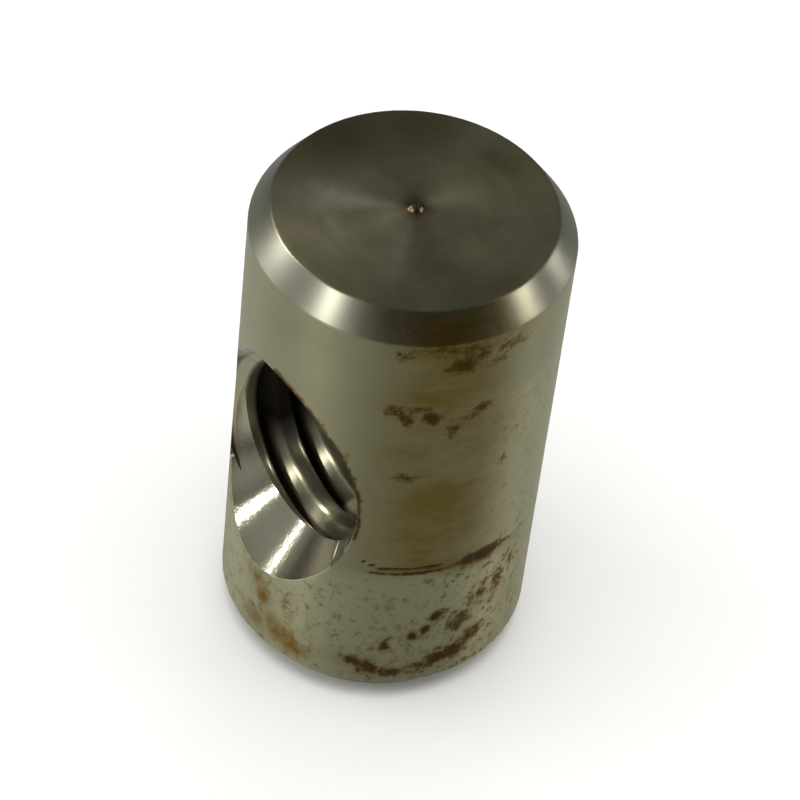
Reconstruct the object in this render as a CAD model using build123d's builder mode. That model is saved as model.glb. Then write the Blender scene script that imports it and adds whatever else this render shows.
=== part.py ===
"""Cross dowel nut: a steel barrel with a countersunk, tapped cross hole.

The barrel drops into a round hole in a panel, and the connector bolt that comes in from
the panel's edge screws into it crosswise. All sizes are in millimetres. The origin is the
centre of the lower end, +Z runs up the barrel, and the mouth of the hole faces -Y.
"""
import os
from math import radians, tan

from build123d import *

# Barrel, turned from round bar
barrel_dia = 11.1125
barrel_length = 19.05
chamfer_in = 0.7  # how far each end's chamfer reaches in over the end
chamfer_down = 0.95  # and how far along the wall

# Pip that the parting tool leaves at the centre of the upper end
pip_dia = 0.55
pip_height = 0.12

# Cross hole, tapped right-handed from wall to wall: 5/16-18 UNC
hole_height = 9.4  # its axis, above the lower end
thread_dia = 7.9375
thread_pitch = 1.4111
thread_depth = 0.62  # how deep the tap cuts into the wall of the drilled hole
thread_angle = 60.0
root_flat = 0.15  # width of the groove's floor
thread_turn = 165.0  # degrees that the thread is turned about the hole's axis
groove_overcut = 0.05  # how far the groove's section reaches into the drilled hole

# Countersink that leads the bolt in
sink_dia = 10.0  # of the cone, where it meets the barrel's outermost line
sink_angle = 90.0

barrel_radius = barrel_dia / 2
end_radius = barrel_radius - chamfer_in
thread_radius = thread_dia / 2
drill_radius = thread_radius - thread_depth

# Front of the cross hole, with its normal pointing out of the mouth
mouth = Plane((0, -barrel_radius, hole_height), x_dir=(1, 0, 0), z_dir=(0, -1, 0))

# Section of the thread's groove. It starts a little inside the drilled hole, so that the
# flanks cut right through the wall.
flank_slope = tan(radians(thread_angle / 2))
base_radius = drill_radius - groove_overcut
root_half = root_flat / 2
base_half = root_half + (thread_radius - base_radius) * flank_slope

# The tap starts behind the far wall and ends in the open of the countersink.
tap_length = barrel_dia + thread_pitch

with BuildPart() as tap:
    # What the drill and the tap take out, standing on XY and pointing up Z. The drill
    # goes one pitch further than the tap at either end.
    with Locations((0, 0, -thread_pitch)):
        Cylinder(
            radius=drill_radius,
            height=tap_length + 2 * thread_pitch,
            align=(Align.CENTER, Align.CENTER, Align.MIN),
        )
    with BuildLine() as turns:
        Helix(pitch=thread_pitch, height=tap_length, radius=thread_radius)
    with BuildSketch(Plane.XZ):
        with BuildLine():
            Polyline(
                (base_radius, -base_half),
                (thread_radius, -root_half),
                (thread_radius, root_half),
                (base_radius, base_half),
                close=True,
            )
        make_face()
    sweep(path=turns.line, is_frenet=True)

with BuildPart() as dowel_nut:
    # Half the barrel's section, from its axis out, turned about Z.
    with BuildSketch(Plane.XZ):
        with BuildLine():
            Polyline(
                (0, 0),
                (end_radius, 0),
                (barrel_radius, chamfer_down),
                (barrel_radius, barrel_length - chamfer_down),
                (end_radius, barrel_length),
                (pip_dia / 2, barrel_length),
                (pip_dia / 2, barrel_length + pip_height),
                (0, barrel_length + pip_height),
                close=True,
            )
        make_face()
    revolve(axis=Axis.Z)

    # Countersink in the front wall.
    with Locations(mouth):
        Cone(
            bottom_radius=0,
            top_radius=sink_dia / 2,
            height=sink_dia / 2 / tan(radians(sink_angle / 2)),
            align=(Align.CENTER, Align.CENTER, Align.MAX),
            mode=Mode.SUBTRACT,
        )

    # Tapped hole, from behind the far wall.
    with Locations(mouth.offset(-tap_length)):
        add(tap.part, rotation=(0, 0, thread_turn), mode=Mode.SUBTRACT)

dowel_nut.part.label = "dowel_nut"

os.makedirs("parts", exist_ok=True)
export_step(dowel_nut.part, "parts/dowel_nut.step")
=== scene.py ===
# %% [markdown]
# # Cross dowel nut
# A cross dowel nut is a short steel barrel with a threaded hole through its side. It drops
# into a round hole in a panel, and a bolt that comes in from the panel's edge screws into it.
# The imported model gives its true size, so the model is loaded first and everything that
# follows is measured from it. Blender counts in metres, so one name turns millimetres into
# metres.

from math import atan2, cos, degrees, exp, hypot, pi, radians, sin, tan

import bpy
from mathutils import Matrix, Vector


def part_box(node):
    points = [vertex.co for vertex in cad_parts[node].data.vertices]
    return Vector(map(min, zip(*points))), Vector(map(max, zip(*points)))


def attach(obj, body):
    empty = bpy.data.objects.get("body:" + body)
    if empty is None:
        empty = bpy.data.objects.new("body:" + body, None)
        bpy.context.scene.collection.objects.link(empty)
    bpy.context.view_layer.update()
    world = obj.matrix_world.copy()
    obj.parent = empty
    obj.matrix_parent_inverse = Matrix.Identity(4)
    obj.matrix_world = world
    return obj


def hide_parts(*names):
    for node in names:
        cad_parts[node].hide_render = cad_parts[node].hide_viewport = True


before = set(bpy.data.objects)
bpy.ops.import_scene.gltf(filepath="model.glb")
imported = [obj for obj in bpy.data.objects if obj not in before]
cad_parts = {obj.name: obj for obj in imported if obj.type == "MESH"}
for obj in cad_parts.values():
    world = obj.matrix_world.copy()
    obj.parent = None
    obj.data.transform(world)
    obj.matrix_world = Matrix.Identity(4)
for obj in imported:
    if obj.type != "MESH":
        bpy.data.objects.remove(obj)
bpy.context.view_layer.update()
low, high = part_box("dowel_nut")
mm = 0.001
print("the nut runs from", [round(v / mm, 2) for v in low], "to",
      [round(v / mm, 2) for v in high], "mm")

# %% [markdown]
# ## Small helpers
# Blender's operators act on whatever is selected, and loading the frame leaves its pieces
# selected. So every new piece starts with nothing selected, and the faces, edges or points
# that an operator should work on are picked in code, by where they are or which way they
# face. Going in and out of edit mode is what makes Blender see such a choice.

# %% Helpers for picking and drawing
def start_clean():
    """Leaves edit mode and deselects everything."""
    if bpy.context.object and bpy.context.object.mode != "OBJECT":
        bpy.ops.object.mode_set(mode="OBJECT")
    bpy.ops.object.select_all(action="DESELECT")


def pick(piece, faces=None, edges=None, points=None):
    """Selects the faces, edges or points of a piece that pass a test, in edit mode."""
    bpy.ops.object.mode_set(mode="EDIT")
    kind = "FACE" if faces else "EDGE" if edges else "VERT"
    bpy.ops.mesh.select_mode(type=kind)
    bpy.ops.mesh.select_all(action="DESELECT")
    bpy.ops.object.mode_set(mode="OBJECT")
    mesh = piece.data
    test = faces or edges or points
    items = mesh.polygons if faces else mesh.edges if edges else mesh.vertices
    count = 0
    for item in items:
        item.select = bool(test(item))
        count += item.select
    bpy.ops.object.mode_set(mode="EDIT")
    return count


def draw(name, outline):
    """Draws a line of points in the XZ plane, as by extruding one point again and again."""
    start_clean()
    bpy.ops.mesh.primitive_plane_add(size=mm)
    piece = bpy.context.object
    piece.name = name
    bpy.ops.object.mode_set(mode="EDIT")
    bpy.ops.mesh.merge(type="CENTER")
    place = Vector((0, 0, 0))
    for number, (across, up) in enumerate(outline):
        move = Vector((across * mm, 0, up * mm)) - place
        if number == 0:
            bpy.ops.transform.translate(value=move)
        else:
            bpy.ops.mesh.extrude_vertices_move(TRANSFORM_OT_translate={"value": move})
        place += move
    bpy.ops.object.mode_set(mode="OBJECT")
    return piece


def finish_modifier(piece, kind, name, **settings):
    """Adds a modifier, gives it its settings and applies it."""
    bpy.context.view_layer.objects.active = piece
    modifier = piece.modifiers.new(name, kind)
    for key, value in settings.items():
        setattr(modifier, key, value)
    bpy.ops.object.modifier_apply(modifier=name)

# %% [markdown]
# ## The barrel
# The real barrel is turned from round bar: the lathe cuts one outline, and the bar's turning
# carries it all the way round. Blender's spin does the same, so only half of the section is
# drawn. A turned corner is never quite sharp, because the tool has a small round nose and
# the parts are tumbled afterwards. The corners of the drawing are rounded before it is spun.

# %% Sizes of the barrel
# (here and below, sizes are in millimetres and angles in degrees)
PIP_HEIGHT, PIP_RADIUS = 0.12, 0.275
radius = min(high.x, high.y, -low.x, -low.y) / mm
length = (high.z - low.z) / mm - PIP_HEIGHT
CHAMFER_IN, CHAMFER_DOWN = 0.70, 0.95
CORNER_ROUND, PIP_ROUND = 0.06, 0.05
print("barrel", round(2 * radius, 3), "mm across and", round(length, 3), "mm long")

# %% Turn the barrel
TURN_STEPS = 288
WELD = 0.002  # points closer than this become one
NEAR = 0.01  # how far off a point may be and still count as lying at a place
# rings where the facing tool cut a little deeper: distance from the middle, and depth
FACING_RINGS = [(4.35, 0.004), (3.75, 0.003), (3.15, 0.016), (2.3, 0.005), (1.5, 0.004)]
RING_HALF, RING_LIP = 0.16, 0.002  # half the width of such a ring, and the depth of its edges
PIP_FOOT, FOOT_DIP = 0.25, 0.010  # how far out the pip's foot runs, and how deep it lies
PIP_LEAN = 0.08  # how far the pip's side leans in

half_section = [
    (0, 0),
    (radius - CHAMFER_IN, 0),
    (radius, CHAMFER_DOWN),
    (radius, length - CHAMFER_DOWN),
    (radius - CHAMFER_IN, length),
]
for ring, depth in FACING_RINGS:
    half_section += [(ring + RING_HALF, length - RING_LIP), (ring, length - depth),
                     (ring - RING_HALF, length - RING_LIP)]
half_section += [
    (PIP_RADIUS + PIP_FOOT, length - FOOT_DIP),
    (PIP_RADIUS, length),
    (PIP_RADIUS - PIP_LEAN, length + PIP_HEIGHT),
    (0, length + PIP_HEIGHT),
]
barrel = draw("turned_barrel", half_section)
corners = pick(barrel, points=lambda point: point.co.x > (radius - CHAMFER_IN - NEAR) * mm)
bpy.ops.mesh.bevel(affect="VERTICES", offset=CORNER_ROUND * mm, segments=3)
pip_edge = pick(barrel,
                points=lambda point: NEAR * mm < point.co.x < (PIP_RADIUS + NEAR) * mm)
bpy.ops.mesh.bevel(affect="VERTICES", offset=PIP_ROUND * mm, segments=3)
bpy.ops.mesh.select_all(action="SELECT")
bpy.ops.mesh.spin(steps=TURN_STEPS, angle=2 * pi, center=(0, 0, 0), axis=(0, 0, 1))
bpy.ops.mesh.select_all(action="SELECT")
bpy.ops.mesh.remove_doubles(threshold=WELD * mm)
bpy.ops.mesh.normals_make_consistent(inside=False)
bpy.ops.object.mode_set(mode="OBJECT")
print("rounded", corners, "corners of the outline and", pip_edge, "of the pip; the barrel has",
      len(barrel.data.polygons), "faces")

# %% [markdown]
# ## The cross hole
# The hole is made in three cuts on the real nut: a drill, a countersink that leads the bolt
# in, and a tap that cuts the thread. Here two cutters take their place: the countersink is a
# cone, and the drill and the tap are one tool. Both lie with their axis along Y, because the
# mouth of the hole faces -Y.

# %% Sizes of the cross hole
HOLE_HEIGHT = 9.4
THREAD_RADIUS = 7.9375 / 2
THREAD_PITCH = 1.4111
THREAD_DEPTH = 0.62
THREAD_ANGLE = 60  # between the two flanks of the groove
ROOT_FLAT = 0.15
ROOT_ROUND, CREST_ROUND = 0.035, 0.13
THREAD_TURN = 165.0  # turns the tap, so that the thread meets the mouth at the right place
SINK_RADIUS = 5.0  # of the countersink, at the barrel's outermost line

drill_radius = THREAD_RADIUS - THREAD_DEPTH
tap_length = 2 * radius + THREAD_PITCH
groove_half = ROOT_FLAT / 2 + THREAD_DEPTH * tan(radians(THREAD_ANGLE / 2))
print("a", round(2 * drill_radius, 2), "mm drill, tapped to", round(2 * THREAD_RADIUS, 2), "mm")

# %% [markdown]
# ## The tap
# A thread is one outline that winds along an axis. Blender's screw modifier does just that: it
# takes a line that is one pitch long, turns it round Z and lifts it by its own length, again
# and again. The line is drawn first, with its corners a little rounded as on a worn tap. Its
# open ends are closed afterwards, because only a closed shape can cut.

# %% Draw one turn of the tap
one_thread = [
    (drill_radius, -THREAD_PITCH / 2),
    (drill_radius, -groove_half),
    (THREAD_RADIUS, -ROOT_FLAT / 2),
    (THREAD_RADIUS, ROOT_FLAT / 2),
    (drill_radius, groove_half),
    (drill_radius, THREAD_PITCH / 2),
]
tap = draw("tap", one_thread)
roots = pick(tap, points=lambda point: point.co.x > (THREAD_RADIUS - NEAR) * mm)
bpy.ops.mesh.bevel(affect="VERTICES", offset=ROOT_ROUND * mm, segments=2)
crests = pick(tap, points=lambda point: point.co.x < (drill_radius + NEAR) * mm
              and abs(point.co.z) < (THREAD_PITCH / 2 - NEAR) * mm)
bpy.ops.mesh.bevel(affect="VERTICES", offset=CREST_ROUND * mm, segments=4)
bpy.ops.object.mode_set(mode="OBJECT")
print("rounded", roots, "corners of the groove's root and", crests, "of the crests beside it")

# %% Wind it and close it
THREAD_STEPS = 120  # faces in one turn
THREAD_TURNS = 11  # more than enough to reach through the barrel
finish_modifier(tap, "SCREW", "Winding", axis="Z", angle=2 * pi, steps=THREAD_STEPS,
                render_steps=THREAD_STEPS, screw_offset=THREAD_PITCH * mm,
                iterations=THREAD_TURNS, use_merge_vertices=True, merge_threshold=WELD * mm)
bpy.ops.object.mode_set(mode="EDIT")
bpy.ops.mesh.select_all(action="SELECT")
bpy.ops.mesh.remove_doubles(threshold=WELD * mm)
bpy.ops.mesh.select_all(action="DESELECT")
bpy.ops.mesh.select_mode(type="VERT")
bpy.ops.mesh.select_non_manifold()
bpy.ops.mesh.fill_holes(sides=0)
bpy.ops.mesh.select_mode(type="FACE")
bpy.ops.mesh.poke()
bpy.ops.mesh.select_all(action="SELECT")
bpy.ops.mesh.normals_make_consistent(inside=False)
bpy.ops.object.mode_set(mode="OBJECT")
print("the tap has", len(tap.data.polygons), "faces")

# %% [markdown]
# A tool is easiest to make upright, round the Z axis. It is then laid down with its tip
# towards -Y, and the turn and the place are applied so that they sit in the mesh. The turn
# about its own axis sets where the thread starts.

# %% Lay the tap down in the hole
def apply_place(piece):
    start_clean()
    piece.select_set(True)
    bpy.context.view_layer.objects.active = piece
    bpy.ops.object.transform_apply(location=True, rotation=True, scale=True)


def lay_down(tool, turn, start):
    """Turns a tool about its own axis, lays it along -Y and starts it at a place on Y."""
    tool.matrix_world = (Matrix.Translation((0, start * mm, HOLE_HEIGHT * mm))
                         @ Matrix.Rotation(radians(90), 4, "X")
                         @ Matrix.Rotation(radians(turn), 4, "Z"))
    apply_place(tool)


lay_down(tap, THREAD_TURN, tap_length - radius)
print("the tap reaches from y =", round(min(v.co.y for v in tap.data.vertices) / mm, 2),
      "to", round(max(v.co.y for v in tap.data.vertices) / mm, 2), "mm")

# %% [markdown]
# A 90 degree countersink is a cone as deep as its radius, so a cone primitive needs no more
# shaping. It goes on past the barrel's wall, because a cutter that ended just there would leave
# a skin. It is laid down like the tap, with its tip inside the barrel.

# %% Make the countersink's cutter
SINK_OVERREACH = 1.5
SINK_STEPS = 240  # faces round the cone
sink_depth = SINK_RADIUS + SINK_OVERREACH
start_clean()
bpy.ops.mesh.primitive_cone_add(vertices=SINK_STEPS, radius1=0, radius2=sink_depth * mm,
                                depth=sink_depth * mm, end_fill_type="NGON")
sink = bpy.context.object
sink.name = "countersink"
bpy.ops.object.mode_set(mode="EDIT")
bpy.ops.mesh.select_all(action="SELECT")
bpy.ops.mesh.remove_doubles(threshold=WELD * mm)
bpy.ops.transform.translate(value=(0, 0, sink_depth / 2 * mm))
bpy.ops.object.mode_set(mode="OBJECT")
lay_down(sink, 0, SINK_RADIUS - radius)
print("the cone's tip lies at y =", round(max(v.co.y for v in sink.data.vertices) / mm, 2))

# %% [markdown]
# ## Cutting
# The boolean modifier takes one closed shape from another. The two tools are joined first
# and cut in one go, because a second cut would run along the edges that the first one left.

# %% Cut the hole
finish_modifier(tap, "BOOLEAN", "Join the cone", operation="UNION", object=sink,
                solver="EXACT")
finish_modifier(barrel, "BOOLEAN", "Cut the hole", operation="DIFFERENCE", object=tap,
                solver="EXACT")
for tool in (tap, sink):
    bpy.data.objects.remove(tool)
print("after the cut the nut has", len(barrel.data.polygons), "faces")

# %% [markdown]
# ## Breaking the edge
# Where the cone meets the barrel, the real edge is broken by handling and tumbling, and the
# narrow round that is left catches the light. The edges of this rim all lie on the barrel's
# wall and on the cone at once, so they are picked by those two tests and bevelled. At the two
# sides the thread's root comes out through the rim. The edges are short and crowded there and
# would fold over each other in a bevel, so a narrow band along the root is left sharp.

# %% Bevel the rim of the countersink
RIM_ROUND = 0.05
ROOT_BAND = 0.12  # half the width of the band that is left sharp
RIM_WELD = 0.015  # the cut leaves points on the cone that lie this close together
TOUCH = 0.004  # how far off a surface a point may lie and still belong to it


def from_hole_axis(place):
    return hypot(place.x, place.z - HOLE_HEIGHT * mm)


def on_wall(place):
    return abs(hypot(place.x, place.y) - radius * mm) < TOUCH * mm


def on_cone(place):
    cone_radius = SINK_RADIUS * mm - (place.y + radius * mm)
    return abs(from_hole_axis(place) - cone_radius) < TOUCH * mm


def on_rim(place):
    off_root = abs(from_hole_axis(place) - THREAD_RADIUS * mm)
    return on_wall(place) and on_cone(place) and off_root > ROOT_BAND * mm


pick(barrel, points=lambda point: point.co.y < 0 and on_cone(point.co))
bpy.ops.mesh.remove_doubles(threshold=RIM_WELD * mm)
rim = pick(barrel, edges=lambda edge: all(
    on_rim(barrel.data.vertices[end].co) for end in edge.vertices))
bpy.ops.mesh.bevel(affect="EDGES", offset=RIM_ROUND * mm, segments=3, profile=0.5,
                   clamp_overlap=False)
bpy.ops.object.mode_set(mode="OBJECT")
print("bevelled", rim, "edges of the rim")

# %% [markdown]
# ## Rings for the wall
# The cut leaves the wall as long strips from chamfer to chamfer. Dents and pits need points
# to move, so the strips are cut across by level planes: close together in the lower part,
# where rust has pitted the steel, and wider apart above.

# %% Cut the wall across
FINE_RING, COARSE_RING, SCORED_RING = 0.12, 0.16, 0.045
PITTED_TOP = 6.8  # height below which the wall is pitted
SCORED_LOW, SCORED_HIGH = 6.6, 7.5  # heights between which it is scored
RING_MARGIN = 0.1  # from the chamfers' corners to the nearest rings

levels = []
level = CHAMFER_DOWN + RING_MARGIN
while level < length - CHAMFER_DOWN - RING_MARGIN:
    levels.append(level)
    level += (SCORED_RING if SCORED_LOW < level < SCORED_HIGH
              else FINE_RING if level < PITTED_TOP else COARSE_RING)

pick(barrel, faces=lambda face: all(
    on_wall(barrel.data.vertices[corner].co) for corner in face.vertices))
bpy.ops.mesh.hide(unselected=True)
for level in levels:
    bpy.ops.mesh.select_all(action="SELECT")
    bpy.ops.mesh.bisect(plane_co=(0, 0, level * mm), plane_no=(0, 0, 1))
bpy.ops.mesh.reveal(select=False)
bpy.ops.object.mode_set(mode="OBJECT")
print("after", len(levels), "rings the nut has", len(barrel.data.polygons), "faces")

# %% [markdown]
# ## Which part is which finish
# The lathe, the countersink and the tap each leave a surface of their own, so the nut gets
# four finishes in four slots. The faces are picked by place and handed to their slot.

# %% Hand out the finishes
def on_sink(face):
    return all(on_cone(barrel.data.vertices[corner].co) for corner in face.vertices)


def on_thread(face):
    within_wall = hypot(face.center.x, face.center.y) < (radius - 2 * NEAR) * mm
    within_thread = from_hole_axis(face.center) < (THREAD_RADIUS + NEAR) * mm
    return within_wall and within_thread and not on_sink(face)


def on_end(face):
    within_chamfer = hypot(face.center.x, face.center.y) < (radius - CHAMFER_IN + 2 * NEAR) * mm
    beyond_hole = from_hole_axis(face.center) > SINK_RADIUS * mm
    faces_up_or_down = abs(face.normal.z) > 0.5
    return within_chamfer and beyond_hole and faces_up_or_down


FINISHES = ["turned_wall", "faced_end", "countersunk_cone", "tapped_thread"]
barrel.data.materials.clear()
for name in FINISHES:
    barrel.data.materials.append(bpy.data.materials.new(name))
for slot, test in ((1, on_end), (2, on_sink), (3, on_thread)):
    count = pick(barrel, faces=test)
    barrel.active_material_index = slot
    bpy.ops.object.material_slot_assign()
    bpy.ops.object.mode_set(mode="OBJECT")
    print(FINISHES[slot], "on", count, "faces")

# %% [markdown]
# ## Where the rust is
# The nut has lain about. A thin brown film has crept over one side of the wall, and the same band
# is darkened further as a painted dark reflection. Darker rust has eaten in at a few places and
# under the scored line, and the lower third is pitted all over.
# Such marks are painted by hand in Blender, as values that ride on the mesh's points. Here each
# mark is told in one line: how far round it lies, counted from the mouth of the hole, how high,
# how wide and how tall it is, and how strong. Both the pits and the finish read these values.

# %% The marks
# (degrees round from the mouth, height, half width and half height in mm, strength)
RUST_MARKS = [
    (60, 18.6, 1.90, 0.42, 1.6),  # on the upper chamfer: rust, laid on dark as a painted dark reflection on its front
    (78, 18.5, 1.00, 0.36, 1.3),
    (51, 17.7, 0.40, 0.28, 0.8),  # just under it
    (62, 17.9, 0.80, 0.20, 0.7),
    (73, 17.8, 1.20, 0.34, 0.9),
    (71, 17.1, 0.75, 0.42, 1.0),
    (77, 17.4, 0.75, 0.30, 0.9),
    (85, 17.0, 0.50, 0.36, 0.8),
    (91, 17.5, 0.75, 0.42, 0.9),
    (50, 15.0, 0.42, 0.30, 0.9),  # across the middle
    (54, 14.6, 0.42, 0.30, 0.9),
    (58, 15.1, 0.70, 0.18, 0.7),
    (63, 14.7, 0.34, 0.34, 1.2),
    (71, 14.1, 0.40, 0.55, 0.7),
    (76, 14.5, 0.42, 0.22, 1.0),
    (81, 14.8, 0.55, 0.26, 1.0),
    (34.3, 11.9, 0.14, 0.65, 1.4),
    (94, 11.7, 0.16, 0.24, 1.1),
    (98, 13.0, 0.30, 0.14, 0.7),
    (56, 11.8, 0.55, 0.24, 0.8),
    (90, 6.9, 1.05, 0.34, 2.0),  # along the scored line
    (101, 6.8, 0.80, 0.14, 1.2),
    (94, 6.1, 0.24, 0.15, 1.2),
    (75, 4.3, 0.24, 0.26, 1.7),  # eaten in below it
    (71, 3.7, 0.20, 0.24, 1.7),
    (66, 3.4, 0.18, 0.22, 1.7),
    (85, 3.6, 0.70, 0.70, 0.95),
    (92, 4.6, 0.60, 0.80, 0.95),
    (101, 4.8, 0.55, 1.00, 0.95),
    (108, 5.4, 0.40, 0.80, 0.9),
    (90, 2.6, 0.70, 0.60, 1.0),
    (56, 3.0, 0.22, 0.45, 1.0),
    (18, 3.8, 0.20, 0.45, 0.8),
    (46, 2.0, 0.60, 0.34, 1.1),  # along the lower edge
    (51, 1.7, 0.50, 0.40, 1.0),
    (59, 1.5, 0.70, 0.30, 1.1),
    (70, 1.6, 0.60, 0.34, 1.0),
    (77, 1.9, 0.60, 0.44, 1.3),
    (84, 2.0, 0.60, 0.50, 1.3),
]
ORANGE_MARKS = [
    (2, 3.9, 0.34, 0.42, 0.9),
    (6, 3.3, 0.40, 0.52, 1.1),
    (3, 1.8, 0.60, 0.46, 0.9),
    (12, 2.3, 0.55, 0.44, 1.0),
    (16, 1.9, 0.70, 0.54, 1.3),
    (21, 1.6, 0.70, 0.44, 1.2),
]
# on the top face the second number is the distance from the pip
TOP_MARKS = [  # brown stains towards the rim
    (-87, 4.3, 2.6, 1.6, 1.2),
    (-130, 4.2, 2.6, 1.2, 0.8),
    (180, 3.8, 2.6, 1.6, 1.0),
    (94, 4.4, 1.8, 0.7, 0.7),
    (10, 4.5, 1.8, 0.5, 0.4),
]
PAINTED_FAN_HIGHLIGHTS = [  # painted highlights: pale fans such as a lamp draws across the face's rings
    (-42, 2.2, 1.30, 1.9, 1.0),
    (-47, 3.3, 1.00, 0.7, 0.6),
    (40, 2.0, 0.90, 1.2, 0.4),
]
print(len(RUST_MARKS), "rust marks,", len(ORANGE_MARKS), "orange ones and",
      len(TOP_MARKS) + len(PAINTED_FAN_HIGHLIGHTS), "on the top face")

# %% [markdown]
# A mark is strongest in its middle and fades out all round, like one dab of a soft brush. The
# film, which carries a painted dark reflection with it, is not a dab but a broad band, and the
# specks and pits fill the lower third, so these are told by rules of their own. Each rule takes
# a place on the wall and answers with a number that is about 0 where the steel is clean and 1
# where the mark is full.

# %% How strong the rust is at a place
FADED = 2.5  # a mark has faded out at so many times its half width
FILM_AND_REFLECTION_MIDDLE, FILM_AND_REFLECTION_SPREAD = 69, 27  # where round the wall the film and its painted dark reflection lie, and how wide
LOW_MIDDLE, LOW_SPREAD = 103, 18  # the same for what is left of it where the pits begin


def strength_of(marks, round_by, height, spread=1.0):
    """The strongest mark at a place, each fading out from its middle."""
    best = 0.0
    for middle, level, half_width, half_height, strength in marks:
        along = (height - level) / half_height / spread
        across = radians(round_by - middle) * radius / half_width / spread
        if abs(along) < FADED and abs(across) < FADED:
            best = max(best, strength * exp(-along * along - across * across))
    return best


def fading_from(middle, spread, place):
    """1 in the middle, fading out to both sides."""
    return exp(-((place - middle) / spread) ** 2)


def film_and_dark_reflection_at(round_by, height):
    """The brown film with a painted dark reflection: thick on one side above the scored line,
    thin and patchy below it.
    """
    film = fading_from(FILM_AND_REFLECTION_MIDDLE, FILM_AND_REFLECTION_SPREAD, round_by)
    if height < PITTED_TOP:
        film = max(0.22 * film, 0.42 * fading_from(LOW_MIDDLE, LOW_SPREAD, round_by))
        film = max(film, 0.45 * strength_of(RUST_MARKS, round_by, height, spread=1.9))
    return film

# %% How strong the two scored lines are at a place
SCORE_HALF = 0.055  # half the width of a scored line
LONG_FROM, LONG_TO = 47, 124  # how far round the lines start and end
SHORT_FROM, SHORT_TO = 44, 74


def scored_at(round_by, height):
    """Two thin lines that a tool or a washer has scored into the wall."""
    long_line = 6.85 + 0.06 * sin(radians(round_by) * 5)
    short_line = 7.38 - 0.30 * min(1, max(0, (round_by - SHORT_FROM) / 8))
    score = 0.0
    if LONG_FROM < round_by < LONG_TO:
        running_out = min(1, (LONG_TO - round_by) / 25)
        score = running_out * fading_from(long_line, SCORE_HALF, height)
    if SHORT_FROM < round_by < SHORT_TO:
        score = max(score, 0.9 * fading_from(short_line, SCORE_HALF, height))
    return score

# %% How strong the rust at the rim and the specks are at a place
RIM_STRENGTH, RIM_HALF = 1.3, 0.24
SPECKS_TOP = 15  # height up to which the few specks at the side reach


def rim_rust_at(round_by, height):
    """A thin line of rust along the upper rim of the countersink."""
    across, up = radius * sin(radians(round_by)), height - HOLE_HEIGHT
    cone_radius = SINK_RADIUS - radius * (1 - cos(radians(round_by)))
    off_rim = hypot(across, up) - cone_radius
    towards_top = min(1, max(0, (up + 2) / 1.5)) if round_by > 0 else 0
    return RIM_STRENGTH * towards_top * fading_from(0, RIM_HALF, off_rim)


def pitted_at(round_by, height):
    """How freely small specks and pits lie there: thick below, a few higher up at the side."""
    border = 0.5 + 1.5 * (1 - fading_from(75, 55, round_by))  # narrow where the film is
    below = min(1, max(0, (PITTED_TOP - height) / border))
    below *= 0.75 + 0.8 * fading_from(95, 18, round_by)
    aside = 0.55 * fading_from(105, 26, round_by) if height < SPECKS_TOP else 0
    return max(below, aside)

# %% [markdown]
# ## Pits and the scored line
# Rust takes steel away, so its marks lie a little below the wall. A displace modifier moves
# points along their normals, by as much as a cloud texture and a vertex group allow, and always
# inwards, because the nut must not grow. The group holds the weight of the marks, as if it had
# been painted with a brush.

# %% Sink the pits
PIT_DEPTH, SCORE_DEPTH = 0.07, 0.035
PIT_WIDTH = 0.26
LEAST_WEIGHT = 0.01  # weaker marks move no point
SPECK_SHARE, UPPER_SHARE = 0.22, 0.35  # how deep specks and the upper marks are, next to a pit


def weigh(piece, name, weight_at):
    """Paints a vertex group: each point of the wall gets a weight for a modifier to read."""
    group = piece.vertex_groups.new(name=name)
    count = 0
    for point in piece.data.vertices:
        off_axis = hypot(point.co.x, point.co.y)
        if on_wall(point.co) or off_axis > (radius - PIT_DEPTH - NEAR) * mm:
            round_by = degrees(atan2(point.co.x, -point.co.y))
            weight = min(1, weight_at(round_by, point.co.z / mm))
            if weight > LEAST_WEIGHT:
                group.add([point.index], weight, "REPLACE")
                count += 1
    print(name, "on", count, "points")


start_clean()
weigh(barrel, "eaten", lambda round_by, height: max(
    SPECK_SHARE * pitted_at(round_by, height), strength_of(RUST_MARKS, round_by, height)
    * (1.0 if height < PITTED_TOP else UPPER_SHARE)))
weigh(barrel, "scored", scored_at)
grain = bpy.data.textures.new("rust_pits", "CLOUDS")
grain.noise_scale = PIT_WIDTH * mm
grain.noise_depth = 2
grain.contrast = 3.0
grain.intensity = 0.75
grain.use_clamp = True
finish_modifier(barrel, "DISPLACE", "Pits", texture=grain, texture_coords="LOCAL",
                vertex_group="eaten", strength=-PIT_DEPTH * mm, mid_level=0)
finish_modifier(barrel, "DISPLACE", "Scored line", vertex_group="scored",
                strength=-SCORE_DEPTH * mm, mid_level=0)

# %% [markdown]
# ## The marks as paint
# The finishes should know where the marks are too. An attribute holds one number for each point
# of the mesh, as vertex paint does, and it stays on the points when the nut is moved or taken
# elsewhere. The wall gets one layer for each kind of mark. On the top face, the film's layer
# holds the stains, and one more layer holds painted highlights: pale fans such as a lamp draws
# across the face's rings.

# %% Paint the marks on the points
SCORE_RUST = 1.5  # rust sits well in a scored line
LAYERS = {
    "film": film_and_dark_reflection_at,
    "rust": lambda round_by, height: max(strength_of(RUST_MARKS, round_by, height),
                                         SCORE_RUST * scored_at(round_by, height),
                                         rim_rust_at(round_by, height)),
    "orange": lambda round_by, height: strength_of(ORANGE_MARKS, round_by, height),
    "pitted": pitted_at,
}
outer = [point for point in barrel.data.vertices
         if hypot(point.co.x, point.co.y) > (radius - CHAMFER_IN - 2 * NEAR) * mm]
for name, value_at in LAYERS.items():
    layer = barrel.data.attributes.new(name, "FLOAT", "POINT")
    for point in outer:
        round_by = degrees(atan2(point.co.x, -point.co.y))
        layer.data[point.index].value = value_at(round_by, point.co.z / mm)
print("painted", list(LAYERS), "on", len(outer), "points")

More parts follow.
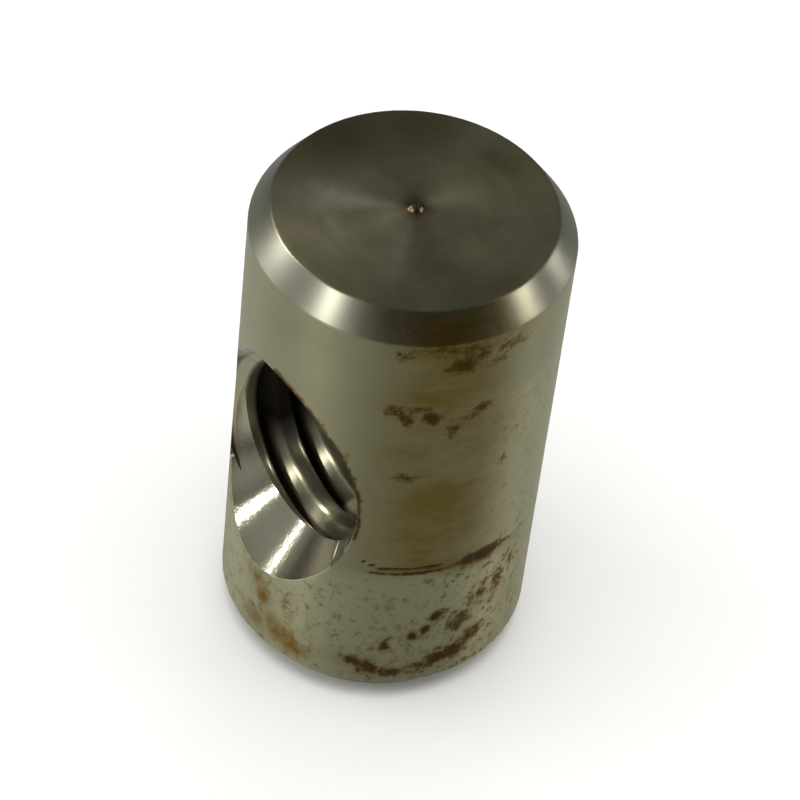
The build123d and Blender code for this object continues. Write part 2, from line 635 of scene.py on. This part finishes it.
# %% Paint the top face
barrel.data.attributes.new("rubbed", "FLOAT", "POINT")
on_top = [point for point in barrel.data.vertices if point.co.z > (length - 3 * NEAR) * mm]
for name, marks in (("film", TOP_MARKS), ("rubbed", PAINTED_FAN_HIGHLIGHTS)):
    layer = barrel.data.attributes[name]
    for point in on_top:
        round_by = degrees(atan2(point.co.x, -point.co.y))
        off_pip = hypot(point.co.x, point.co.y) / mm
        # a mark that crosses the back counts from both ends of the circle
        layer.data[point.index].value = max(
            strength_of(marks, round_by + turn, off_pip) for turn in (-360, 0, 360))
print("painted the film and the rubbed places on", len(on_top), "points")

# %% [markdown]
# ## Smooth shading
# The mesh is made of flat faces, but turned steel shines without a break. Smooth shading lets
# the light run on over every edge that isn't sharper than a given angle. The edge of the cone
# is kept sharp, or its light would run on over the wall. The cone itself is cut into long thin
# faces, on which Blender guesses the direction badly, so each of its corners is given the
# cone's own: half towards the axis of the hole and half out of its mouth.

# %% Smooth the barrel
SMOOTH_ANGLE = 40
start_clean()
barrel.select_set(True)
bpy.context.view_layer.objects.active = barrel
bpy.ops.object.shade_smooth_by_angle(angle=radians(SMOOTH_ANGLE))
pick(barrel, faces=on_sink)
bpy.ops.mesh.region_to_loop()
bpy.ops.mesh.mark_sharp()
bpy.ops.object.mode_set(mode="OBJECT")
normals = [corner.vector.copy() for corner in barrel.data.corner_normals]
on_cone_slot = FINISHES.index("countersunk_cone")
cone_corners = [corner for face in barrel.data.polygons if face.material_index == on_cone_slot
                for corner in face.loop_indices]
for corner in cone_corners:
    place = barrel.data.vertices[barrel.data.loops[corner].vertex_index].co
    inwards = Vector((-place.x, 0, HOLE_HEIGHT * mm - place.z)).normalized()
    normals[corner] = (inwards + Vector((0, -1, 0))).normalized()
barrel.data.normals_split_custom_set(normals)
print("gave", len(cone_corners), "corners the direction of the cone")

# %% [markdown]
# ## Taking the place of the CAD solid
# The nut is one piece, so it rides on the frame's only body. The CAD solid stays in the file
# for the physics, and this finer mesh is what is shown.

# %% Take the CAD solid's place
barrel.vertex_groups.clear()
barrel.name = "nut_body"
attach(barrel, "root")
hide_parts("dowel_nut")
print(barrel.name, "has", len(barrel.data.vertices), "points and",
      sum(len(face.vertices) - 2 for face in barrel.data.polygons), "triangles")

# %% [markdown]
# ## Building a finish
# A finish is a small network of nodes that ends in one Principled shader. One helper adds a
# node and links it, one turns a hex colour into the linear values that Blender mixes, and one
# gives the place on the nut in millimetres, so that every pattern's scale is a real size.

# %% Helpers for finishes
COLOUR_A, COLOUR_B, COLOUR_OUT = 6, 7, 2  # where a Mix node keeps its colours


def colour(hex_code):
    """An sRGB hex colour as linear values."""
    parts = [int(hex_code[i:i + 2], 16) / 255 for i in (1, 3, 5)]
    return [p / 12.92 if p <= 0.04045 else ((p + 0.055) / 1.055) ** 2.4 for p in parts] + [1]


def node(tree, kind, inputs=(), **settings):
    """Adds one node, gives it its settings, and fills or links its inputs."""
    new = tree.nodes.new(kind)
    for key, value in settings.items():
        setattr(new, key, value)
    for key, value in dict(inputs).items():
        if isinstance(value, bpy.types.Node):
            value = value.outputs[0]
        if isinstance(value, bpy.types.NodeSocket):
            tree.links.new(value, new.inputs[key])
        else:
            new.inputs[key].default_value = value
    return new


def open_finish(name):
    """The node tree of a finish and its shader."""
    material = bpy.data.materials[name]
    material.use_nodes = True
    return material.node_tree, material.node_tree.nodes["Principled BSDF"]


def feed(tree, shader, **inputs):
    """Links the ends of a network into the shader."""
    for key, value in inputs.items():
        socket = value.outputs[0] if isinstance(value, bpy.types.Node) else value
        tree.links.new(socket, shader.inputs[key.replace("_", " ")])


def place_mm(tree, stretch=(1, 1, 1)):
    """The place on the nut in millimetres, stretched along the axes."""
    place = node(tree, "ShaderNodeTexCoord").outputs["Object"]
    return node(tree, "ShaderNodeVectorMath", {0: place, 1: [s / mm for s in stretch]},
                operation="MULTIPLY")

# %% [markdown]
# ## The turned wall
# Free-cutting steel, turned and left bare. The lathe tool leaves fine rings, so the metal
# scatters light widely up and down the barrel and hardly at all round it. That is anisotropy:
# the shader's tangent points across the rings, which is straight up. Over the grey steel lie
# the film, cloudy and drawn out round the barrel and laid on darker on one side as a painted dark
# reflection, and the rust, whose borders are frayed by a fine noise. The film is so thin that
# the metal shines through it, while rust is a dull crust.
# The chamfer is rubbed by every hand, so its grey is cleaner than the wall's.

# %% Turned wall: patterns
tree, shader = open_finish("turned_wall")
FEED_MARK = 0.11  # between the rings that the tool leaves
CLOUD = 1.6  # across one cloud of film
FRAY = 0.18  # across one tooth of a rust border
RELIEF = 0.01  # how far the finest marks stand up, as bumps that are only shaded

painted = {name: node(tree, "ShaderNodeAttribute", attribute_name=name).outputs["Fac"]
           for name in LAYERS}
cloud = node(tree, "ShaderNodeTexNoise", {"Vector": place_mm(tree, (0.55, 0.55, 1)),
                                          "Scale": 1 / CLOUD, "Detail": 6, "Roughness": 0.62})
fray = node(tree, "ShaderNodeTexNoise", {"Vector": place_mm(tree),
                                         "Scale": 0.5 / FRAY, "Detail": 4, "Roughness": 0.75})
rings = node(tree, "ShaderNodeTexNoise", {"Vector": place_mm(tree, (0.02, 0.02, 1)),
                                          "Scale": 0.5 / FEED_MARK, "Detail": 3,
                                          "Roughness": 0.7})
teeth = node(tree, "ShaderNodeMapRange", {"Value": fray, "From Min": 0.3, "From Max": 0.7,
                                          "To Min": -0.85, "To Max": 0.15})

# %% [markdown]
# What is painted has soft borders, but rust ends in teeth. So a noise is taken away from the
# painted amount, and what is left above nought is rust: the border moves in and out with the
# noise. The heart of a mark starts further in, where the crust is thick and dark. Specks are
# the peaks of the same noise, wherever the wall is pitted.

# %% Turned wall: how much film, rust and specks
BLEND = 0.05  # the wall's grey goes over into the chamfer's within this of the corner
cloudiness = node(tree, "ShaderNodeMapRange", {"Value": cloud, "From Min": 0.30,
                                               "From Max": 0.70, "To Min": 0.55, "To Max": 1.25})
streaks = node(tree, "ShaderNodeMath", {0: rings, 1: 0.4, 2: 0.8}, operation="MULTIPLY_ADD")
drawn_out = node(tree, "ShaderNodeMath", {0: cloudiness, 1: streaks}, operation="MULTIPLY")
film_and_reflection_amount = node(tree, "ShaderNodeMath", {0: painted["film"], 1: drawn_out},
              operation="MULTIPLY", use_clamp=True)
frayed = {}
ragged = node(tree, "ShaderNodeMath", {0: painted["rust"], 1: teeth}, operation="ADD")
held = node(tree, "ShaderNodeMath", {0: ragged, 1: painted["rust"]}, operation="MINIMUM")
for name, start, end in (("rust", 0.0, 0.65), ("heart", 0.30, 1.05)):
    frayed[name] = node(tree, "ShaderNodeMapRange", {"Value": held, "From Min": start,
                                                     "From Max": end}).outputs[0]
patchy = node(tree, "ShaderNodeMapRange", {"Value": fray, "From Min": 0.3, "From Max": 0.7,
                                           "To Min": 0.45, "To Max": 1.2})
frayed["orange"] = node(tree, "ShaderNodeMath", {0: painted["orange"], 1: patchy},
                        operation="MULTIPLY", use_clamp=True).outputs[0]
speck = node(tree, "ShaderNodeMapRange", {"Value": fray, "From Min": 0.52, "From Max": 0.66})
speck = node(tree, "ShaderNodeMath", {0: speck, 1: cloudiness}, operation="MULTIPLY")
specked = node(tree, "ShaderNodeMath", {0: speck, 1: painted["pitted"]}, operation="MULTIPLY",
               use_clamp=True)
etched = node(tree, "ShaderNodeMath", {0: painted["pitted"], 1: 0.5}, operation="MULTIPLY")
height_mm = node(tree, "ShaderNodeSeparateXYZ", {0: place_mm(tree)}).outputs["Z"]
chamfered = node(tree, "ShaderNodeMapRange", {
    "Value": height_mm, "From Min": length - CHAMFER_DOWN - BLEND,
    "From Max": length - CHAMFER_DOWN + BLEND})

# %% [markdown]
# The colours are laid over each other like thin coats, from the bare steel up to the orange
# bloom, each as thick as its amount. Crust has lost most of its metal, and it is rougher than
# steel, so it stays dull where the wall beside it shines.

# %% Turned wall: colours and gloss
BARE_ROUGHNESS, PITTED_MORE, RUSTED_MORE = 0.42, 0.05, 0.30
tone = node(tree, "ShaderNodeMix", {0: cloud, COLOUR_A: colour("#6A6A54"),
                                    COLOUR_B: colour("#7B7A62")}, data_type="RGBA")
# the film's brown stands partly for a painted dark reflection on that side of the wall
for amount, hex_code in ((etched, "#918F74"), (chamfered, "#747366"),
                         (film_and_reflection_amount, "#574B24"), (specked, "#4E4522"),
                         (frayed["rust"], "#543F1A"), (frayed["heart"], "#36280F"),
                         (frayed["orange"], "#5E4506")):
    tone = node(tree, "ShaderNodeMix", {0: amount, COLOUR_A: tone.outputs[COLOUR_OUT],
                                        COLOUR_B: colour(hex_code)}, data_type="RGBA")
dull_orange = node(tree, "ShaderNodeMath", {0: frayed["orange"], 1: 0.5},
                   operation="MULTIPLY")
crust = node(tree, "ShaderNodeMath", {0: frayed["heart"], 1: dull_orange},
             operation="MAXIMUM")
metal_left = node(tree, "ShaderNodeMapRange", {"Value": crust, "To Min": 1.0, "To Max": 0.40})
dulled = node(tree, "ShaderNodeMath", {0: painted["pitted"], 1: PITTED_MORE,
                                       2: BARE_ROUGHNESS}, operation="MULTIPLY_ADD")
rusted = node(tree, "ShaderNodeMath", {0: frayed["rust"], 1: RUSTED_MORE, 2: dulled},
              operation="MULTIPLY_ADD")
relief = node(tree, "ShaderNodeMath", {0: fray, 1: frayed["rust"], 2: rings},
              operation="MULTIPLY_ADD")
bump = node(tree, "ShaderNodeBump", {"Height": relief, "Strength": 0.35,
                                     "Distance": RELIEF * mm})
shader.inputs["Anisotropic"].default_value = 0.80
shader.inputs["Specular IOR Level"].default_value = 0.2  # a crust of rust hardly shines
shader.inputs["Specular Tint"].default_value = (0.8, 0.8, 0.78, 1)  # aged steel is duller askew
feed(tree, shader, Base_Color=tone.outputs[COLOUR_OUT], Metallic=metal_left, Roughness=rusted,
     Normal=bump, Tangent=node(tree, "ShaderNodeCombineXYZ", {"Z": 1.0}))
print("turned_wall has", len(tree.nodes), "nodes")

# %% [markdown]
# ## The faced ends
# The same steel, cut square by a tool that travels to the middle. Its rings lie round the pip,
# so the light draws two pale fans across them: the tangent points outwards from the axis. The
# rings' height depends only on the distance from the axis. Brown stains come in from the rim,
# a paler colour paints more of a lamp's fan as a painted highlight, and dirt has settled round
# the pip.

# %% Faced ends
tree, shader = open_finish("faced_end")
FACE_MARK = 0.16  # between the rings of the facing cut, drawn coarser than they are
DIRT_FULL, DIRT_END = 0.25, 0.75  # how far out from the middle the dirt lies
outwards = node(tree, "ShaderNodeVectorMath", {0: place_mm(tree), 1: (1, 1, 0)},
                operation="MULTIPLY")
from_axis = node(tree, "ShaderNodeVectorMath", {0: outwards}, operation="LENGTH").outputs["Value"]
rings = node(tree, "ShaderNodeTexNoise", {"W": from_axis, "Scale": 0.5 / FACE_MARK, "Detail": 3,
                                          "Roughness": 0.7}, noise_dimensions="1D")
cloud = node(tree, "ShaderNodeTexNoise", {"Vector": place_mm(tree), "Scale": 1 / CLOUD,
                                          "Detail": 6, "Roughness": 0.65})
tone = node(tree, "ShaderNodeMapRange", {"Value": cloud, "From Min": 0.35, "From Max": 0.65})
tone = node(tree, "ShaderNodeMix", {0: tone, COLOUR_A: colour("#75745A"),
                                    COLOUR_B: colour("#8B846B")}, data_type="RGBA")
stained = node(tree, "ShaderNodeAttribute", attribute_name="film").outputs["Fac"]
stained = node(tree, "ShaderNodeMath", {0: stained, 1: cloud, 2: 0.1}, operation="MULTIPLY_ADD")
rubbed = node(tree, "ShaderNodeAttribute", attribute_name="rubbed").outputs["Fac"]
rubbed = node(tree, "ShaderNodeMath", {0: rubbed, 1: cloud}, operation="MULTIPLY")
near_pip = node(tree, "ShaderNodeMapRange", {"Value": from_axis, "From Min": DIRT_FULL,
                                             "From Max": DIRT_END, "To Min": 0.8,
                                             "To Max": 0.0})
# the stains and the dirt are the face's own colour; the pale colour is a painted highlight
for amount, hex_code in ((stained, "#3E3620"), (rubbed, "#C8C6B4"), (near_pip, "#4A3A22")):
    tone = node(tree, "ShaderNodeMix", {0: amount, COLOUR_A: tone.outputs[COLOUR_OUT],
                                        COLOUR_B: colour(hex_code)}, data_type="RGBA")
bump = node(tree, "ShaderNodeBump", {"Height": rings, "Strength": 0.35,
                                     "Distance": RELIEF * mm})
shader.inputs["Metallic"].default_value = 1
shader.inputs["Roughness"].default_value = 0.42
shader.inputs["Anisotropic"].default_value = 0.60
feed(tree, shader, Base_Color=tone.outputs[COLOUR_OUT], Normal=bump, Tangent=outwards)
print("faced_end has", len(tree.nodes), "nodes")

# %% [markdown]
# ## The countersink
# The countersink was cut last, and its cone is the cleanest and brightest part. Its marks lie
# round the hole's axis, which runs along Y, so the tangent points along Y. A brown line of rust
# has settled along its rim, where the cone comes out on the wall. The rim is found by the
# distance from the barrel's axis. A browner film lies in the upper half of the cone, and on the
# side where the wall has its film too; on that side it is also a painted dark reflection.

# %% Countersunk cone
tree, shader = open_finish("countersunk_cone")
RIM_RUST = 0.40  # how far the brown line reaches into the cone
LINE_FROM, LINE_TO = HOLE_HEIGHT - 3.2, HOLE_HEIGHT - 1.8  # it gets stronger between these
AGED_FROM, AGED_TO = HOLE_HEIGHT - 0.5, HOLE_HEIGHT + 2.0  # and so does the film, upwards
SIDE_FROM, SIDE_TO = 0.8, 2.2  # the film, with a painted dark reflection, towards its own side, on X
flat = node(tree, "ShaderNodeVectorMath", {0: place_mm(tree), 1: (1, 1, 0)},
            operation="MULTIPLY")
from_axis = node(tree, "ShaderNodeVectorMath", {0: flat}, operation="LENGTH").outputs["Value"]
fray = node(tree, "ShaderNodeTexNoise", {"Vector": place_mm(tree), "Scale": 0.5 / FRAY,
                                         "Detail": 4, "Roughness": 0.6})
reach = node(tree, "ShaderNodeMapRange", {"Value": from_axis, "From Min": radius - RIM_RUST,
                                          "From Max": radius})
height_mm = node(tree, "ShaderNodeSeparateXYZ", {0: place_mm(tree)}).outputs["Z"]
above = node(tree, "ShaderNodeMapRange", {"Value": height_mm, "From Min": LINE_FROM,
                                          "From Max": LINE_TO, "To Min": 0.4, "To Max": 1.8})
rim_rust = node(tree, "ShaderNodeMath", {0: reach, 1: fray}, operation="MULTIPLY")
rim_rust = node(tree, "ShaderNodeMath", {0: rim_rust, 1: above}, operation="MULTIPLY",
                use_clamp=True)
aged_and_side_shade = node(tree, "ShaderNodeMapRange", {"Value": height_mm, "From Min": AGED_FROM,
                                         "From Max": AGED_TO, "To Max": 0.95})
sideways_mm = node(tree, "ShaderNodeSeparateXYZ", {0: place_mm(tree)}).outputs["X"]
side_film_and_shade = node(tree, "ShaderNodeMapRange", {"Value": sideways_mm, "From Min": SIDE_FROM,
                                                "From Max": SIDE_TO, "To Max": 0.70})
aged_and_side_shade = node(tree, "ShaderNodeMath", {0: aged_and_side_shade, 1: side_film_and_shade}, operation="MAXIMUM")
marks = node(tree, "ShaderNodeTexNoise", {"Vector": place_mm(tree, (0.02, 1, 0.02)),
                                          "Scale": 0.5 / FEED_MARK, "Detail": 3,
                                          "Roughness": 0.7})
tone = node(tree, "ShaderNodeMix", {0: marks, COLOUR_A: colour("#7B7A69"),
                                    COLOUR_B: colour("#8E8D7B")}, data_type="RGBA")
# the film on the cone's side is partly a painted dark reflection
for amount, hex_code in ((aged_and_side_shade, "#665E42"), (rim_rust, "#4E3418")):
    tone = node(tree, "ShaderNodeMix", {0: amount, COLOUR_A: tone.outputs[COLOUR_OUT],
                                        COLOUR_B: colour(hex_code)}, data_type="RGBA")
relief = node(tree, "ShaderNodeMath", {0: fray, 1: 1.5, 2: marks}, operation="MULTIPLY_ADD")
bump = node(tree, "ShaderNodeBump", {"Height": relief, "Strength": 0.45,
                                     "Distance": RELIEF * mm})
shader.inputs["Metallic"].default_value = 1
shader.inputs["Roughness"].default_value = 0.24
shader.inputs["Anisotropic"].default_value = 1.0
along_hole = node(tree, "ShaderNodeCombineXYZ", {"Y": 1.0})
feed(tree, shader, Base_Color=tone.outputs[COLOUR_OUT], Normal=bump, Tangent=along_hole)
print("countersunk_cone has", len(tree.nodes), "nodes")

# %% [markdown]
# ## The tapped thread
# The crests keep the steel's tone, and the roots are painted a dark brown as painted shade. The
# distance from the hole's own axis tells a crest from a root, so the tone goes from steel to a
# dark brown with it. Only the mouth and the floor of the hole are left bright: further in, the
# sides and the roof are painted darker still, as painted shade.

# %% Tapped thread
tree, shader = open_finish("tapped_thread")
SHADE_BELOW_CREST, ROOT_SHADE_FULL = 0.38, 0.04  # where the painted shade starts below the crest, and where it fills the root
INSIDE_FROM, INSIDE_TO = -3.8, -3.4  # on Y: the painted shade inside the hole starts between these
FLOOR_FROM, FLOOR_TO = HOLE_HEIGHT - 2.7, HOLE_HEIGHT - 1.7  # the floor of the hole is left without painted shade up to this height
from_hole = node(tree, "ShaderNodeVectorMath", {0: place_mm(tree), 1: (0, 0, -HOLE_HEIGHT)},
                 operation="ADD")
from_hole = node(tree, "ShaderNodeVectorMath", {0: from_hole, 1: (1, 0, 1)},
                 operation="MULTIPLY")
from_hole = node(tree, "ShaderNodeVectorMath", {0: from_hole}, operation="LENGTH")
root_shade = node(tree, "ShaderNodeMapRange", {"Value": from_hole.outputs["Value"],
                                            "From Min": drill_radius + SHADE_BELOW_CREST,
                                            "From Max": THREAD_RADIUS - ROOT_SHADE_FULL})
fray = node(tree, "ShaderNodeTexNoise", {"Vector": place_mm(tree), "Scale": 0.5 / FRAY,
                                         "Detail": 4, "Roughness": 0.6})
place = node(tree, "ShaderNodeSeparateXYZ", {0: place_mm(tree)}).outputs
above_floor = node(tree, "ShaderNodeMapRange", {"Value": place["Z"], "From Min": FLOOR_FROM,
                                                "From Max": FLOOR_TO})
inside = node(tree, "ShaderNodeMapRange", {"Value": place["Y"], "From Min": INSIDE_FROM,
                                           "From Max": INSIDE_TO})
hole_shade = node(tree, "ShaderNodeMath", {0: above_floor, 1: inside}, operation="MULTIPLY")
tone = node(tree, "ShaderNodeMix", {0: fray, COLOUR_A: colour("#77735A"),
                                    COLOUR_B: colour("#98937A")}, data_type="RGBA")
# painted shade: dark brown in the thread's roots, darker still in the sides and roof of the hole
for amount, hex_code in ((root_shade, "#2E2417"), (hole_shade, "#1C160D")):
    tone = node(tree, "ShaderNodeMix", {0: amount, COLOUR_A: tone.outputs[COLOUR_OUT],
                                        COLOUR_B: colour(hex_code)}, data_type="RGBA")
painted_shade = node(tree, "ShaderNodeMath", {0: root_shade, 1: hole_shade}, operation="MAXIMUM")
gloss = node(tree, "ShaderNodeMapRange", {"Value": painted_shade, "To Min": 0.32, "To Max": 0.60})
bump = node(tree, "ShaderNodeBump", {"Height": fray, "Strength": 0.3,
                                     "Distance": RELIEF * mm})
shader.inputs["Metallic"].default_value = 0.75
shader.inputs["Anisotropic"].default_value = 0.85
along_hole = node(tree, "ShaderNodeCombineXYZ", {"Y": 1.0})
feed(tree, shader, Base_Color=tone.outputs[COLOUR_OUT], Roughness=gloss, Normal=bump,
     Tangent=along_hole)
print("tapped_thread has", len(tree.nodes), "nodes")

# %% [markdown]
# ## The camera
# The camera looks down at about half a right angle, from the side where the hole's mouth is
# seen askew, through a long lens. Its own three directions are worked out from its angles, and
# they are the columns of its matrix.

# %% Camera
CAMERA_AZIMUTH, CAMERA_ELEVATION, CAMERA_ROLL = 48.4, 46.11, 6.93
CAMERA_DISTANCE = 124.05
TARGET_HEIGHT = 9.99
LENS, SENSOR_WIDTH = 159.2, 36
SHIFT_RIGHT, SHIFT_UP = 0.0085, -0.0057  # in widths of the frame
azimuth, elevation, roll = map(radians, (CAMERA_AZIMUTH, CAMERA_ELEVATION, CAMERA_ROLL))
back = Vector((sin(azimuth) * cos(elevation), -cos(azimuth) * cos(elevation), sin(elevation)))
level_right = Vector((cos(azimuth), sin(azimuth), 0))
level_up = back.cross(level_right)
right = cos(roll) * level_right + sin(roll) * level_up
up = cos(roll) * level_up - sin(roll) * level_right
start_clean()
bpy.ops.object.camera_add()
camera = bpy.context.object
target = Vector((0, 0, TARGET_HEIGHT * mm))
camera.matrix_world = Matrix.Translation(target + back * CAMERA_DISTANCE * mm) @ Matrix(
    (right, up, back)).transposed().to_4x4()
camera.data.lens = LENS
camera.data.sensor_width = SENSOR_WIDTH
camera.data.shift_x, camera.data.shift_y = SHIFT_RIGHT, SHIFT_UP
camera.data.clip_start, camera.data.clip_end = 1 * mm, 3
bpy.context.scene.camera = camera
print("the camera stands", CAMERA_DISTANCE, "mm from the nut")

# %% [markdown]
# ## Lamps
# Bare steel shows little but what it mirrors, so the room counts more than the lamps. A soft
# lamp on either side and a low one in front fill the wall, two small bulbs on either side draw
# the bright streaks on the chamfer and the cone, and a panel behind gives the top its tone. The
# lamp overhead only lights the floor and the rust: glossy rays pass it by, so the metal mirrors
# the white floor and a dim room, as it would on a table. The bulbs are the other way round: they
# show in the metal only, so that they throw no hard shadows.

# %% Lamps
# (name, degrees round from the camera, degrees above the floor, size, watts)
SOFT_LAMPS = [
    ("left_soft", -82, 30, 220, 0.11),
    ("right_soft", 100, 26, 220, 0.02),
    ("back_panel", 180, 46, 260, 0.030),
    ("front_fill", -34, 16, 110, 0.034),
]
BULBS = [
    ("left_front_bulb", -51, 31, 13, 0.40),
    ("left_back_bulb", -107, 36, 13, 0.45),
    ("right_front_bulb", 87, 25, 13, 0.29),
    ("right_back_bulb", 117, 15, 13, 0.12),
]


def lamp(name, azimuth, elevation, size, watts, distance=250):
    """An area lamp that looks at the nut from a direction round it."""
    a, e = radians(azimuth), radians(elevation)
    direction = Vector((sin(a) * cos(e), -cos(a) * cos(e), sin(e)))
    start_clean()
    bpy.ops.object.light_add(type="AREA", location=target + direction * distance * mm)
    light = bpy.context.object
    light.name = name
    light.rotation_euler = direction.to_track_quat("Z", "Y").to_euler()
    light.data.size = size * mm
    light.data.energy = watts
    return light


for name, off_camera, height_angle, size, watts in SOFT_LAMPS:
    lamp(name, CAMERA_AZIMUTH + off_camera, height_angle, size, watts)
for name, off_camera, height_angle, size, watts in BULBS:
    bulb = lamp(name, CAMERA_AZIMUTH + off_camera, height_angle, size, watts)
    bulb.visible_diffuse = False
overhead = lamp("overhead", 0, 90, 320, 1.10, distance=300)
overhead.visible_glossy = False

# %% [markdown]
# The room itself is dim and nearly grey. It is what the steel mirrors wherever it meets neither
# a lamp nor the floor.

# %% Room
ROOM_LIGHT = (0.10, 0.10, 0.096, 1)
world = bpy.data.worlds.new("room")
bpy.context.scene.world = world
world.use_nodes = True
world.node_tree.nodes["Background"].inputs["Color"].default_value = ROOM_LIGHT
print("the room's light is", ROOM_LIGHT[:3])

# %% [markdown]
# ## The floor
# A sheet of white paper, far larger than the view. A little light of its own, seen by the
# camera and in the metal but falling on nothing, lifts it to white and leaves the nut's soft
# shadow on it. The sheet isn't part of the nut.

# %% Floor
FLOOR_SIZE = 4000
GLOW = 0.09  # of the sheet's own, where 1 would be white by itself
start_clean()
bpy.ops.mesh.primitive_plane_add(size=FLOOR_SIZE * mm, location=(0, 0, 0))
floor = bpy.context.object
floor.name = "floor"
paper = bpy.data.materials.new("white_paper")
paper.use_nodes = True
paper_shader = paper.node_tree.nodes["Principled BSDF"]
paper_shader.inputs["Base Color"].default_value = colour("#F6F6F4")
paper_shader.inputs["Roughness"].default_value = 0.9
ray = node(paper.node_tree, "ShaderNodeLightPath").outputs
seen = node(paper.node_tree, "ShaderNodeMath", {0: ray["Is Camera Ray"],
                                                1: ray["Is Glossy Ray"]}, operation="ADD")
seen = node(paper.node_tree, "ShaderNodeMath", {0: seen, 1: ray["Is Transmission Ray"]},
            operation="ADD")
glow = node(paper.node_tree, "ShaderNodeMath", {0: seen, 1: GLOW}, operation="MULTIPLY")
feed(paper.node_tree, paper_shader, Emission_Strength=glow)
paper_shader.inputs["Emission Color"].default_value = (1, 1, 1, 1)
floor.data.materials.append(paper)
bpy.context.scene.view_settings.view_transform = "Standard"
print("the floor lies at height", floor.location.z)
